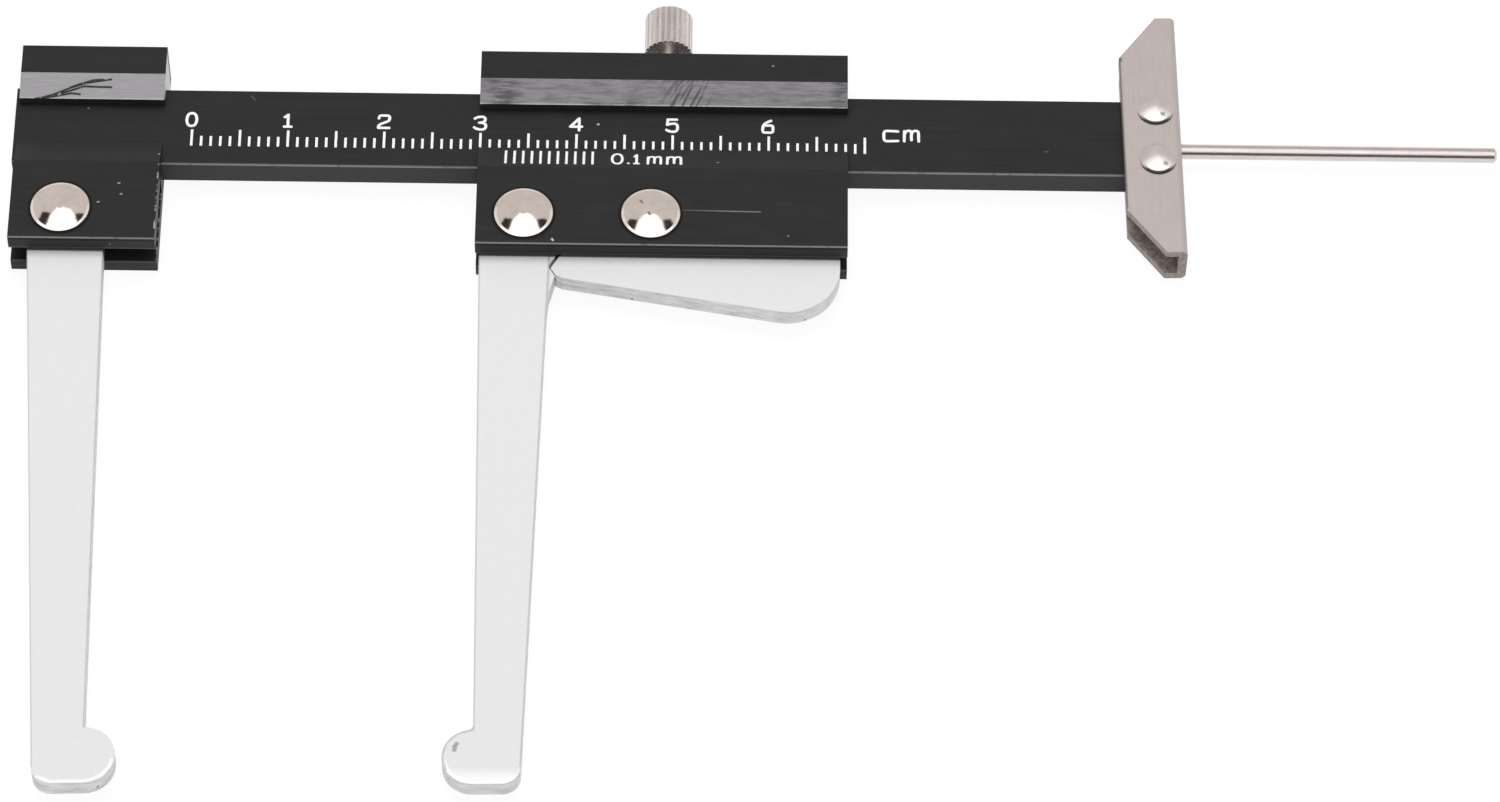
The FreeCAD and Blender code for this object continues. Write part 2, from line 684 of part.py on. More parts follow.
# Depth bridge: a sheet folded to a U over the beam's end, about the point where the rod leaves it
bridge = new_body("depth_bridge", "bridge_web_x", "beam_middle", "0", "bridge_lean")
sketch = new_sketch(bridge, "bridge_fold", "XZ_Plane", "-bridge_rear")
draw_loop(sketch, [
    ("-bridge_under_reach", "beam_back - sheet"),
    ("sheet / 2", "beam_back - sheet"),
    ("sheet / 2", "beam_front_face + sheet"),
    ("-bridge_reach", "beam_front_face + sheet"),
    ("-bridge_reach", "beam_front_face"),
    ("-sheet / 2", "beam_front_face"),
    ("-sheet / 2", "beam_back"),
    ("-bridge_under_reach", "beam_back"),
])
feature = pad(bridge, "bridge_sheet", sketch, "bridge_front + bridge_rear")
folds = []
for index, edge in enumerate(feature.Shape.Edges, start=1):
    a, b = edge.Vertexes[0].Point, edge.Vertexes[-1].Point
    if abs(a.y - b.y) > 1 and abs(a.x - number("sheet / 2")) < 1e-4 and abs(b.x - a.x) < 1e-4:
        folds.append("Edge%d" % index)
fillet(bridge, "bridge_fold_rounds", feature, folds, "fold_radius")
sketch = new_sketch(bridge, "bridge_corner_cuts", "XY_Plane", "-1")
draw_loop(sketch, [
    ("-bridge_reach - 1", "bridge_rear - rear_cut_y * (1 + 1 / rear_cut_x)"),
    ("-bridge_reach + rear_cut_x + 1", "bridge_rear + rear_cut_y / rear_cut_x"),
    ("-bridge_reach - 1", "bridge_rear + rear_cut_y / rear_cut_x"),
])
draw_loop(sketch, [
    ("-bridge_reach - 1", "-bridge_front + front_cut_y * (1 + 1 / front_cut_x)"),
    ("-bridge_reach + front_cut_x + 1", "-bridge_front - front_cut_y / front_cut_x"),
    ("-bridge_reach - 1", "-bridge_front - front_cut_y / front_cut_x"),
])
pocket(bridge, "bridge_cut_corners", sketch, "section_height + 2", along=True)
sketch = new_sketch(bridge, "bridge_rod_circle", "YZ_Plane", "-sheet")
draw_circle(sketch, "0", "rod_z", "rod_radius + rod_hole_gap")
pocket(bridge, "bridge_rod_hole", sketch, "sheet * 2", along=True)
sketch = new_sketch(bridge, "bridge_rivet_circles", "XY_Plane", "-1")
for side in ("-", ""):
    draw_circle(sketch, "bridge_rivet_x", side + "bridge_rivet_spread", "bridge_rivet_shank + rivet_gap")
pocket(bridge, "bridge_rivet_holes", sketch, "section_height + 2", along=True)

# Rivets of the bridge
for label, side in (("bridge_rivet_upper", "+"), ("bridge_rivet_lower", "-")):
    x = "bridge_web_x + bridge_rivet_x * cos(bridge_lean * 1deg)"
    x += " - (%s1) * bridge_rivet_spread * sin(bridge_lean * 1deg)" % side
    y = "beam_middle + bridge_rivet_x * sin(bridge_lean * 1deg)"
    y += " + (%s1) * bridge_rivet_spread * cos(bridge_lean * 1deg)" % side
    body = new_body(label, x, y)
    top = "beam_front_face + sheet"
    bottom = "beam_back - sheet"
    sketch = new_sketch(body, label + "_profile", "XZ_Plane")
    draw_loop(sketch, [
        ("0", bottom + " - bridge_rivet_foot_rise"),
        ("bridge_rivet_head", bottom + " - bridge_rivet_foot_rise"),
        ("bridge_rivet_head", bottom),
        ("bridge_rivet_shank", bottom),
        ("bridge_rivet_shank", top),
        ("bridge_rivet_head", top),
        ("bridge_rivet_head", top + " + bridge_rivet_edge"),
        ("0", top + " + bridge_rivet_rise"),
    ], domes=(6,))
    revolve(body, label + "_turned", sketch, "Z_Axis")

# Check every object, then write one file for each body
doc.recompute()
for item in doc.Objects:
    if "Invalid" in item.State or "Error" in item.State:
        raise RuntimeError("%s is %s" % (item.Label, item.State))
bodies = [item for item in doc.Objects if item.TypeId == "PartDesign::Body"]
for body in bodies:
    shape = body.Shape
    if shape.isNull() or not shape.isValid() or len(shape.Solids) != 1:
        raise RuntimeError("%s has no sound solid" % body.Label)
os.makedirs("parts", exist_ok=True)
for body in bodies:
    body.Shape.exportStep("parts/%s.step" % body.Label)
    box = body.Shape.BoundBox
    print("%-20s %8.1f mm3  X %.2f..%.2f  Y %.2f..%.2f  Z %.2f..%.2f" % (
        body.Label, body.Shape.Volume, box.XMin, box.XMax, box.YMin, box.YMax, box.ZMin, box.ZMax))
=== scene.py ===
import bmesh
import bpy
import math
from mathutils import Matrix, Vector


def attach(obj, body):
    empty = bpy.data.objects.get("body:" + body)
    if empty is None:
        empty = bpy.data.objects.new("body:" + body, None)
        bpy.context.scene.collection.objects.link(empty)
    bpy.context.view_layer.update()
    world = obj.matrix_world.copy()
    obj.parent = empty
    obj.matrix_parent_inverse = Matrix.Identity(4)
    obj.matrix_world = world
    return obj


# Brake disc gauge: finishes for the solid pieces, the engraved scale and vernier, camera and studio.
# Places in the finishes are millimetres from the model's own origin, under the middle of the fixed head.
# The scale and the vernier are laid out from the scale's zero mark, across from the beam's front edge
# and up from the table. ZERO_X and ZERO_Y are that mark's place in the model.
MM = 0.001
ZERO_X = 10.55
ZERO_Y = -1.675

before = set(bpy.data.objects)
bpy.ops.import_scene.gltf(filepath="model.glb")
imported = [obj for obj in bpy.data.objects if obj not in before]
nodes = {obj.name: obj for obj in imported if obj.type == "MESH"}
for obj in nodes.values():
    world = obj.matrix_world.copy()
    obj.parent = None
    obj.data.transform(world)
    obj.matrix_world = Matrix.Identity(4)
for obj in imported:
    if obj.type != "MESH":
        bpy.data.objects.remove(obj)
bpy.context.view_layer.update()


def spot(x, y, z):
    """A point given from the scale's zero mark, in metres in the model's frame."""
    return Vector(((x + ZERO_X) * MM, (y + ZERO_Y) * MM, z * MM))


def add_object(name, data):
    """A new object in the scene."""
    made = bpy.data.objects.new(name, data)
    bpy.context.scene.collection.objects.link(made)
    return made


def surface_of(tree):
    """The socket that a material's shader ends in."""
    return [node for node in tree.nodes if node.type == "OUTPUT_MATERIAL"][0].inputs["Surface"]


# A stroke fades out this far beyond its ends and is full over this share of its width
STROKE_FADE = 0.12
STROKE_CORE = 0.4


# Small steps that every finish is made from
class Finish:
    """A named material, with short calls that add a node and return its output."""

    def __init__(self, name, base, roughness, metallic=0.0, specular=0.5):
        self.material = bpy.data.materials.new(name)
        self.material.use_nodes = True
        self.tree = self.material.node_tree
        self.shader = self.tree.nodes["Principled BSDF"]
        self.shader.inputs["Base Color"].default_value = (*base, 1)
        self.shader.inputs["Roughness"].default_value = roughness
        self.shader.inputs["Metallic"].default_value = metallic
        self.shader.inputs["Specular IOR Level"].default_value = specular
        self.place = self.tree.nodes.new("ShaderNodeTexCoord").outputs["Object"]
        self.parts = None
        self.direction = None

    def node(self, kind, **settings):
        made = self.tree.nodes.new(kind)
        for key, value in settings.items():
            setattr(made, key, value)
        return made

    def join(self, source, target):
        self.tree.links.new(source, target)

    def stretched(self, stretch, turn):
        """Object coordinates turned about Z and then scaled, so that a pattern runs with the piece."""
        mapping = self.node("ShaderNodeMapping", vector_type="TEXTURE")
        mapping.inputs["Scale"].default_value = tuple(1 / part for part in stretch)
        mapping.inputs["Rotation"].default_value = (0, 0, math.radians(turn))
        self.join(self.place, mapping.inputs["Vector"])
        return mapping.outputs["Vector"]

    def noise(self, stretch, detail, turn=0.0, rough=0.6):
        """Cloudy noise. stretch is how many times per metre it changes along X, Y and Z."""
        made = self.node("ShaderNodeTexNoise")
        made.inputs["Scale"].default_value = 1.0
        made.inputs["Detail"].default_value = detail
        made.inputs["Roughness"].default_value = rough
        self.join(self.stretched(stretch, turn), made.inputs["Vector"])
        return made.outputs["Fac"]

    def specks(self, per_metre, size, thin_out):
        """White where a small round speck lies. Only some cells hold one."""
        cells = self.node("ShaderNodeTexVoronoi")
        cells.inputs["Scale"].default_value = per_metre
        self.join(self.place, cells.inputs["Vector"])
        near = self.math("LESS_THAN", cells.outputs["Distance"], size)
        parts = self.node("ShaderNodeSeparateColor")
        self.join(cells.outputs["Color"], parts.inputs["Color"])
        return self.both(near, self.math("GREATER_THAN", parts.outputs["Red"], thin_out))

    def math(self, operation, first, second=0.0):
        """One step of arithmetic. Each value may be a number or an output."""
        made = self.node("ShaderNodeMath", operation=operation)
        for socket, value in zip(made.inputs, (first, second)):
            if isinstance(value, (int, float)):
                socket.default_value = value
            else:
                self.join(value, socket)
        return made.outputs[0]

    def both(self, first, second):
        """1 only where both are 1."""
        return self.math("MULTIPLY", first, second)

    def vector_math(self, operation, first, second=(0, 0, 0)):
        """The outputs of one step with vectors. The second is a plain vector."""
        made = self.node("ShaderNodeVectorMath", operation=operation)
        self.join(first, made.inputs[0])
        made.inputs[1].default_value = second
        return made.outputs

    def ramp(self, source, low, high):
        """0 at low, 1 at high, and level beyond them."""
        made = self.node("ShaderNodeMapRange", clamp=True)
        made.inputs["From Min"].default_value = low
        made.inputs["From Max"].default_value = high
        self.join(source, made.inputs["Value"])
        return made.outputs["Result"]

    def between(self, source, low, high, soft):
        """1 from low to high, with soft edges inside them."""
        return self.both(self.ramp(source, low, low + soft), self.ramp(source, high, high - soft))

    def mix(self, factor, first, second):
        """A colour between two colours. Each may be a plain colour or an output."""
        made = self.node("ShaderNodeMix", data_type="RGBA")
        self.join(factor, made.inputs["Factor"])
        colours = [socket for socket in made.inputs if socket.type == "RGBA"]
        for socket, value in zip(colours, (first, second)):
            if isinstance(value, tuple):
                socket.default_value = (*value, 1)
            else:
                self.join(value, socket)
        return [socket for socket in made.outputs if socket.type == "RGBA"][0]

    def over(self, tone, mark, share, colour):
        """The tone with a colour laid over it where the mark is. share is how strongly it covers."""
        return self.mix(self.both(mark, share), tone, colour)

    def axis(self, name):
        """One coordinate of the place on the piece, in metres."""
        if self.parts is None:
            self.parts = self.node("ShaderNodeSeparateXYZ")
            self.join(self.place, self.parts.inputs[0])
        return self.parts.outputs[name]

    def rise(self, name, low, high):
        """0 at low and 1 at high along an axis, in millimetres."""
        return self.ramp(self.axis(name), low * MM, high * MM)

    def span(self, name, low, high, soft):
        """1 from low to high along an axis, all in millimetres."""
        return self.between(self.axis(name), low * MM, high * MM, soft * MM)

    def facing(self, name):
        """One part of the surface's own direction."""
        if self.direction is None:
            shape = self.node("ShaderNodeNewGeometry")
            self.direction = self.node("ShaderNodeSeparateXYZ")
            self.join(shape.outputs["Normal"], self.direction.inputs[0])
        return self.direction.outputs[name]

    def away_from(self, x, y):
        """How far the place lies from an upright axis at X and Y in millimetres, in metres."""
        moved = self.vector_math("SUBTRACT", self.place, (x * MM, y * MM, 0))["Vector"]
        flat = self.vector_math("MULTIPLY", moved, (1, 1, 0))["Vector"]
        return self.vector_math("LENGTH", flat)["Value"]

    def from_nearest(self, centres):
        """How far the place lies from the nearest of several upright axes, in metres."""
        nearest = None
        for x, y in centres:
            reach = self.away_from(x, y)
            nearest = reach if nearest is None else self.math("MINIMUM", nearest, reach)
        return nearest

    def stroke(self, start, end, half):
        """1 along a thin straight mark between two places given as X and Y, with half its width to
        each side, all in millimetres."""
        first = Vector((start[0] * MM, start[1] * MM, 0))
        run = Vector((end[0] * MM, end[1] * MM, 0)) - first
        along = run.normalized()
        across = Vector((-along.y, along.x, 0))
        moved = self.vector_math("SUBTRACT", self.place, first)["Vector"]
        ahead = self.vector_math("DOT_PRODUCT", moved, along)["Value"]
        aside = self.math("ABSOLUTE", self.vector_math("DOT_PRODUCT", moved, across)["Value"])
        fade = STROKE_FADE * MM
        return self.both(self.ramp(aside, half * MM, half * STROKE_CORE * MM),
                         self.between(ahead, -fade, run.length + fade, fade))

    def strokes(self, runs, half):
        """1 along any of several runs of points."""
        total = None
        for run in runs:
            for start, end in zip(run, run[1:]):
                mark = self.stroke(start, end, half)
                total = mark if total is None else self.math("MAXIMUM", total, mark)
        return total

    def colour(self, source):
        self.join(source, self.shader.inputs["Base Color"])

    def rough(self, source, low, high):
        """Roughness from low to high as the source goes from 0 to 1."""
        made = self.node("ShaderNodeMapRange")
        made.inputs["To Min"].default_value = low
        made.inputs["To Max"].default_value = high
        self.join(source, made.inputs["Value"])
        self.join(made.outputs["Result"], self.shader.inputs["Roughness"])

    def relief(self, source, strength, depth):
        """A surface that seems raised by depth, in metres, where the source is 1."""
        bump = self.node("ShaderNodeBump")
        bump.inputs["Strength"].default_value = strength
        bump.inputs["Distance"].default_value = depth
        self.join(source, bump.inputs["Height"])
        self.join(bump.outputs["Normal"], self.shader.inputs["Normal"])


# How deep the fine grain of a finish seems, in metres
GRAIN_DEPTH = 2e-5

# Lines along the edges: painted highlights where an edge catches the light, partly wear, and one painted
# shade line: low Y, high Y, low Z, high Z and how pale
SECTION_WEAR_AND_LIGHT_LINES = (
    (-12.28, -12.1, 5.82, 6.01, 0.22),
    (-12.4, -12.15, 5.5, 5.74, 0.004),
    (-12.4, -12.15, 4.16, 4.32, 0.1),
    (-12.29, -12.15, 1.55, 1.82, 0.09),
    (-12.29, -12.15, 0.75, 0.95, 0.07),
)
BEAM_WEAR_AND_HIGHLIGHT_LINES = ((-1.7, -1.55, 4.18, 4.46, 0.42),)

# The large rivets' X and Y, their heads' radius and the ring of painted shade in the gap round their seats
JAW_RIVET_Y = -8.475
HEAD_RIVET = ((-2.35, JAW_RIVET_Y),)
SLIDER_RIVETS = ((45.35, JAW_RIVET_Y), (58.45, -8.375))
RIVET_RADIUS = 3.03
SEAT_SHADE_OUTER, SEAT_SHADE_INNER = 3.42, 3.24

# The rear rail along Y: its inclined face and the bare part of its sawn end
SLOPE_FOOT, SLOPE_TOP = 5.675, 8.625
SAWN_FROM, SAWN_TO = 6.2, 11.9


def black_anodised(name, lines_along, marks, front=0.026, sawn_end=False):
    """Satin black extrusion: lines along X, sparse pale specks, painted edge light and marks of its own.
    lines_along holds boxes of Y and Z with painted highlights along edges, partly wear, and painted shade
    lines. front is how pale the upright faces towards the jaws are, a painted reflection of the floor."""
    made = Finish(name, (0.014, 0.014, 0.0142), 0.45, specular=0.16)
    lines = made.noise((60, 5200, 5200), 4.0)
    cloud = made.noise((260, 420, 420), 3.0)
    tone = made.mix(made.ramp(lines, 0.35, 0.7), (0.016, 0.016, 0.0163), (0.0215, 0.0215, 0.0218))
    tone = made.over(tone, made.ramp(cloud, 0.5, 0.8), 0.4, (0.029, 0.0285, 0.0285))
    # The bevel beside the window is a little paler: painted sheen, chosen by the way the face slants
    bevel_sheen = made.both(made.ramp(made.facing("Y"), 0.25, 0.3), made.ramp(made.facing("Z"), 0.5, 0.6))
    tone = made.over(tone, bevel_sheen, 0.5, (0.030, 0.030, 0.031))
    # Painted reflection: the upright faces towards the jaws are paler, as if they mirrored the white floor
    upright = made.ramp(made.facing("Y"), -0.6, -0.9)
    tone = made.over(tone, upright, 0.8, (front, 0.97 * front, front))
    tone = made.mix(made.ramp(made.facing("Z"), 0.5, 0.6), tone, marks(made, tone))
    if sawn_end:
        # The rail's right end was cut after the black finish and shows bare metal
        sawn = made.noise((3000, 500, 3000), 4.0)
        bare = made.mix(made.ramp(sawn, 0.3, 0.7), (0.70, 0.69, 0.70), (0.92, 0.91, 0.92))
        reach = made.span("Y", SAWN_FROM, SAWN_TO, 0.9)
        tone = made.over(tone, made.ramp(made.facing("X"), 0.7, 0.8), reach, bare)
    # Painted highlights and painted shade lines along the edges, partly wear, broken up by patchy noise
    wear_and_highlight = made.ramp(made.noise((900, 200, 200), 3.0), 0.12, 0.42)
    for low_y, high_y, low_z, high_z, shade in lines_along:
        edge = made.both(made.span("Y", low_y, high_y, 0.04), made.span("Z", low_z, high_z, 0.04))
        tone = made.over(tone, edge, wear_and_highlight, (shade, 0.98 * shade, 0.96 * shade))
    dust = made.specks(330, 0.035, 0.8)
    made.colour(made.over(tone, dust, 0.6, (0.35, 0.35, 0.34)))
    made.rough(lines, 0.4, 0.52)
    made.relief(lines, 0.25, GRAIN_DEPTH)
    return made.material


def seat_rings(made, tone, centres):
    """A painted dark shade round each large rivet's head, in the gap at its seat."""
    shade_ring = made.ramp(made.from_nearest(centres), SEAT_SHADE_OUTER * MM, SEAT_SHADE_INNER * MM)
    return made.over(tone, shade_ring, 0.85, (0.003, 0.003, 0.003))


def foot_line(made, grey):
    """The clean line along the slope's foot."""
    foot = made.span("Y", SLOPE_FOOT - 0.1, SLOPE_FOOT + 0.16, 0.06)
    return made.over(grey, foot, 0.75, (0.46, 0.46, 0.47))


def rail_slope(made, tone, grey):
    """The grey on the rail's inclined face, over the black around it."""
    return made.mix(made.span("Y", SLOPE_FOOT - 0.1, SLOPE_TOP + 0.04, 0.02), tone, grey)


def head_marks(made, tone):
    """Grey slope with a spray of dark scores, and a painted highlight in patches along the right edge,
    partly wear.
    """
    streak = made.noise((500, 9000, 9000), 5.0, rough=0.7)
    grey = made.mix(made.ramp(streak, 0.25, 0.75), (0.25, 0.24, 0.25), (0.36, 0.35, 0.36))
    grey = foot_line(made, grey)
    scores = made.strokes([
        [(-5.95, 5.62), (-5.2, 5.75), (-4.1, 6.1), (-2.2, 6.95), (-0.6, 7.5), (1.94, 7.95)],
        [(-5.6, 5.7), (-4.6, 5.8), (-3.74, 5.95), (-2.21, 6.3), (-1.24, 6.2)],
        [(-3.9, 6.0), (-2.4, 6.55), (-0.9, 7.1), (0.83, 7.05), (1.99, 7.05)],
        [(-3.3, 6.35), (-2.2, 7.0), (-1.1, 7.45), (0.2, 7.85), (1.1, 7.9)],
    ], 0.17)
    broken = made.ramp(made.noise((2200, 2200, 2200), 3.0), 0.28, 0.4)
    grey = made.over(grey, scores, broken, (0.02, 0.02, 0.02))
    tone = seat_rings(made, rail_slope(made, tone, grey), HEAD_RIVET)
    # Painted highlight along the right edge, broken into patches, partly wear
    edge = made.stroke((7.48, -12.0), (7.48, -2.0), 0.13)
    patches = made.ramp(made.noise((200, 1300, 200), 4.0), 0.5, 0.62)
    tone = made.over(tone, edge, patches, (0.35, 0.35, 0.34))
    nicks = made.strokes([
        [(3.45, -5.33), (3.6, -5.33)],
        [(3.75, -6.7), (3.9, -6.7)],
        [(1.45, -7.76), (1.6, -7.7)],
        [(7.35, -1.2), (7.45, -1.2)],
    ], 0.11)
    return made.mix(nicks, tone, (0.34, 0.34, 0.33))


def slider_marks(made, tone):
    """Mottled grey slope with a patch of slanting file marks, a long fine scratch and a few nicks."""
    streak = made.noise((650, 9000, 9000), 5.0, rough=0.7)
    patch = made.noise((350, 1900, 1900), 4.0, rough=0.65)
    grey = made.mix(made.ramp(streak, 0.25, 0.75), (0.165, 0.155, 0.17), (0.275, 0.262, 0.275))
    grey = made.over(grey, made.ramp(patch, 0.55, 0.4), 0.6, (0.11, 0.105, 0.115))
    grey = foot_line(made, grey)
    # Duller near both ends and along part of the foot
    left_end = made.span("X", 40.4, 45.0, 1.5)
    right_end = made.rise("X", 76.6, 77.8)
    low_part = made.both(made.span("X", 51.0, 58.2, 2.0), made.rise("Y", 6.5, 5.9))
    dull = made.math("MAXIMUM", made.math("MAXIMUM", left_end, right_end), low_part)
    dull = made.both(dull, made.ramp(patch, 0.62, 0.42))
    grey = made.over(grey, dull, 0.85, (0.065, 0.063, 0.07))
    filed = made.ramp(made.noise((3400, 260, 260), 2.0, turn=-28), 0.48, 0.6)
    filed = made.both(filed, made.span("X", 58.9, 64.9, 1.6))
    grey = made.over(grey, filed, 0.8, (0.045, 0.043, 0.05))
    tone = seat_rings(made, rail_slope(made, tone, grey), SLIDER_RIVETS)
    # The scratch is faint at its left end
    scratch = made.stroke((61.76, -7.86), (69.7, -7.97), 0.1)
    tone = made.over(tone, scratch, made.rise("X", 60.0, 67.0), (0.17, 0.17, 0.17))
    nicks = made.strokes([
        [(65.2, -1.48), (65.35, -1.48)],
        [(70.85, 10.66), (71.0, 10.66)],
    ], 0.09)
    tone = made.mix(nicks, tone, (0.3, 0.3, 0.29))
    # A larger bright nick at the front edge, beside the moving jaw
    chip = made.stroke((48.37, -11.77), (48.43, -11.73), 0.24)
    return made.mix(chip, tone, (0.6, 0.6, 0.59))


def beam_marks(made, tone):
    """A few pale flecks beside the numbers."""
    faint = made.strokes([
        [(16.5, 7.05), (16.95, 6.55)],
        [(99.3, 1.2), (99.6, 1.2)],
    ], 0.09)
    tone = made.mix(faint, tone, (0.09, 0.09, 0.09))
    dot = made.stroke((52.72, 3.98), (52.82, 3.98), 0.15)
    return made.mix(dot, tone, (0.55, 0.55, 0.54))


# The toes' corner radius, and how far inside the outline the painted highlight of the front rim runs
TOE_CORNER = 1.9
RIM_INSET = 0.2


def jaw_runs(rivet_x, lean, side, inner, outer, taper, drop, radius):
    """The jaw's long edges, the rear of its round toe and the toe's front rim, as runs of X and Y.
    The values are the jaw's own. side is 1 where the toe points right and -1 where it points left."""
    turn = math.radians(lean)

    def placed(x, y):
        return (rivet_x + side * x * math.cos(turn) - y * math.sin(turn),
                JAW_RIVET_Y + side * x * math.sin(turn) + y * math.cos(turn))

    def arc(first, last, step, reach):
        angles = [math.radians(angle) for angle in range(first, last + 1, step)]
        return [placed(inner + reach * math.sin(angle), -drop + reach * math.cos(angle)) for angle in angles]

    tip = -drop - radius
    corner = outer + taper * (drop + radius - TOE_CORNER)
    edges = [[placed(inner, -3.0), placed(inner, -drop + radius)],
             [placed(outer, 0.0), placed(corner, tip + TOE_CORNER)]]
    rim = arc(100, 180, 20, radius - RIM_INSET)
    rim += [placed(corner + TOE_CORNER, tip + RIM_INSET), placed(corner + 0.6, tip + RIM_INSET + 0.6)]
    return {"edges": edges, "rear": arc(0, 120, 30, radius), "rim": rim}


# Painted shade close to the slot's mouth, under the slider's front, along Y
SLOT_SHADE_FROM, SLOT_SHADE_TO = -12.56, -12.42


def silver_plate(name, edges=(), edge_half=0.0, rim=(), bright_below=None, dents=()):
    """Pale silver plate: fine sandy grain on the face, duller sheared sides with small dark pits.
    edges are runs of grey along the face's edges, rim runs of painted white highlight, partly burnish, and
    dents dark runs.
    bright_below is the Y under which the face shines."""
    made = Finish(name, (0.73, 0.73, 0.73), 0.48, specular=0.4)
    grain = made.noise((5200, 5200, 5200), 3.0)
    cloud = made.noise((90, 90, 90), 3.0)
    face = made.mix(made.ramp(grain, 0.3, 0.7), (0.692, 0.692, 0.692), (0.742, 0.742, 0.743))
    face = made.over(face, made.ramp(cloud, 0.4, 0.7), 0.5, (0.715, 0.715, 0.718))
    if bright_below is not None:
        face = made.mix(made.rise("Y", bright_below, bright_below - 1.2), face, (0.88, 0.88, 0.88))
    # Painted highlight, partly burnished edge: a white line along the toe's front rim
    if rim:
        face = made.over(face, made.strokes(rim, 0.26), 0.9, (0.9, 0.9, 0.9))
    if dents:
        face = made.over(face, made.strokes(dents, 0.3), 0.8, (0.24, 0.24, 0.24))
    if edges:
        face = made.over(face, made.strokes(edges, edge_half), 0.6, (0.36, 0.36, 0.365))
    side_grain = made.noise((420, 420, 2600), 5.0, rough=0.7)
    side = made.mix(made.ramp(side_grain, 0.35, 0.68), (0.56, 0.56, 0.565), (0.86, 0.86, 0.865))
    side = made.mix(made.specks(900, 0.13, 0.76), side, (0.2, 0.2, 0.2))
    tone = made.mix(made.ramp(made.facing("Z"), 0.2, 0.5), side, face)
    # Painted shade: a dark band where the plate runs under the slider's front
    made.colour(made.over(tone, made.rise("Y", SLOT_SHADE_FROM, SLOT_SHADE_TO), 0.95, (0.06, 0.06, 0.06)))
    made.rough(grain, 0.42, 0.56)
    made.relief(grain, 0.12, GRAIN_DEPTH)
    return made.material


def nickel(name, tint, low, high, stretch, metallic):
    """Nickel plate over brushed or rolled metal. low and high are its least and greatest roughness."""
    made = Finish(name, tint, (low + high) / 2, metallic=metallic)
    grain = made.noise(stretch, 4.0)
    cloud = made.noise((300, 300, 300), 3.0)
    darker = tuple(0.86 * part for part in tint)
    paler = tuple(1.1 * part for part in tint)
    tone = made.mix(made.ramp(grain, 0.3, 0.7), darker, tint)
    made.colour(made.over(tone, made.ramp(cloud, 0.5, 0.75), 0.5, paler))
    made.rough(grain, low, high)
    made.relief(grain, 0.15, GRAIN_DEPTH)
    return made.material


# The depth bridge's rivets, X and Y, the crescent of painted shadow round each head and the rim of painted
# shade on it, and the height over which the sheet's outer face gives way to its inner ones
BRIDGE_RIVETS = ((110.83, 6.11), (110.97, -0.19))
CRESCENT_OUTER, CRESCENT_INNER = 2.03, 1.9
RIM_INNER, RIM_OUTER = 1.62, 1.7
BRIDGE_INNER_Z = (4.42, 4.38)
# Its dark left edge, the greyer slanting rear edge and the burr at the corner between them:
# start, end, half the width, how strongly it covers and its colour
BRIDGE_EDGES = (
    ((107.18, 12.6), (107.58, -6.5), 0.24, 0.85, (0.13, 0.115, 0.11)),
    ((107.25, 12.8), (111.1, 18.0), 0.12, 0.5, (0.25, 0.23, 0.22)),
    ((107.25, 12.75), (107.25, 12.3), 0.34, 0.85, (0.12, 0.11, 0.10)),
)


def sheared_sheet(name):
    """Satin nickel sheet, brushed along its length, with stained inner faces and rough sheared edges."""
    made = Finish(name, (0.54, 0.475, 0.465), 0.42, metallic=0.35)
    brushed = made.noise((3200, 400, 3200), 4.0)
    cloud = made.noise((240, 120, 240), 3.0)
    tone = made.mix(made.ramp(brushed, 0.3, 0.7), (0.44, 0.384, 0.37), (0.492, 0.43, 0.413))
    tone = made.over(tone, made.ramp(cloud, 0.45, 0.7), 0.6, (0.485, 0.436, 0.41))
    # A little yellower towards the rear end
    tone = made.over(tone, made.rise("Y", 8.0, 20.0), 0.5, (0.46, 0.405, 0.365))
    stain = made.ramp(made.noise((2300, 2300, 2300), 5.0, rough=0.75), 0.35, 0.65)
    not_outer = made.ramp(made.facing("X"), 0.5, 0.3)
    inner = made.both(made.rise("Z", *BRIDGE_INNER_Z), not_outer)
    tone = made.mix(inner, tone, made.mix(stain, (0.23, 0.18, 0.168), (0.60, 0.50, 0.475)))
    sheared = made.both(made.ramp(made.facing("Z"), 0.3, 0.1), not_outer)
    tone = made.over(tone, sheared, 0.85, made.mix(stain, (0.16, 0.13, 0.12), (0.36, 0.31, 0.29)))
    for start, end, half, share, shade in BRIDGE_EDGES:
        tone = made.over(tone, made.stroke(start, end, half), share, shade)
    # Painted shadow: dark crescents in front of the rivets, where their heads meet the sheet
    for x, y in BRIDGE_RIVETS:
        shade_ring = made.ramp(made.away_from(x, y), CRESCENT_OUTER * MM, CRESCENT_INNER * MM)
        tone = made.over(tone, shade_ring, made.rise("Y", y - 0.4, y - 1.2), (0.05, 0.045, 0.04))
    made.colour(tone)
    made.rough(brushed, 0.36, 0.5)
    made.relief(brushed, 0.12, GRAIN_DEPTH)
    return made.material


# A large rivet's warm nickel, and the width in millimetres and depth in metres of its rolled rim
RIVET_TINT = (0.96, 0.85, 0.79)
ROLL_WIDTH = 0.32
ROLL_DEPTH = 5.5e-5


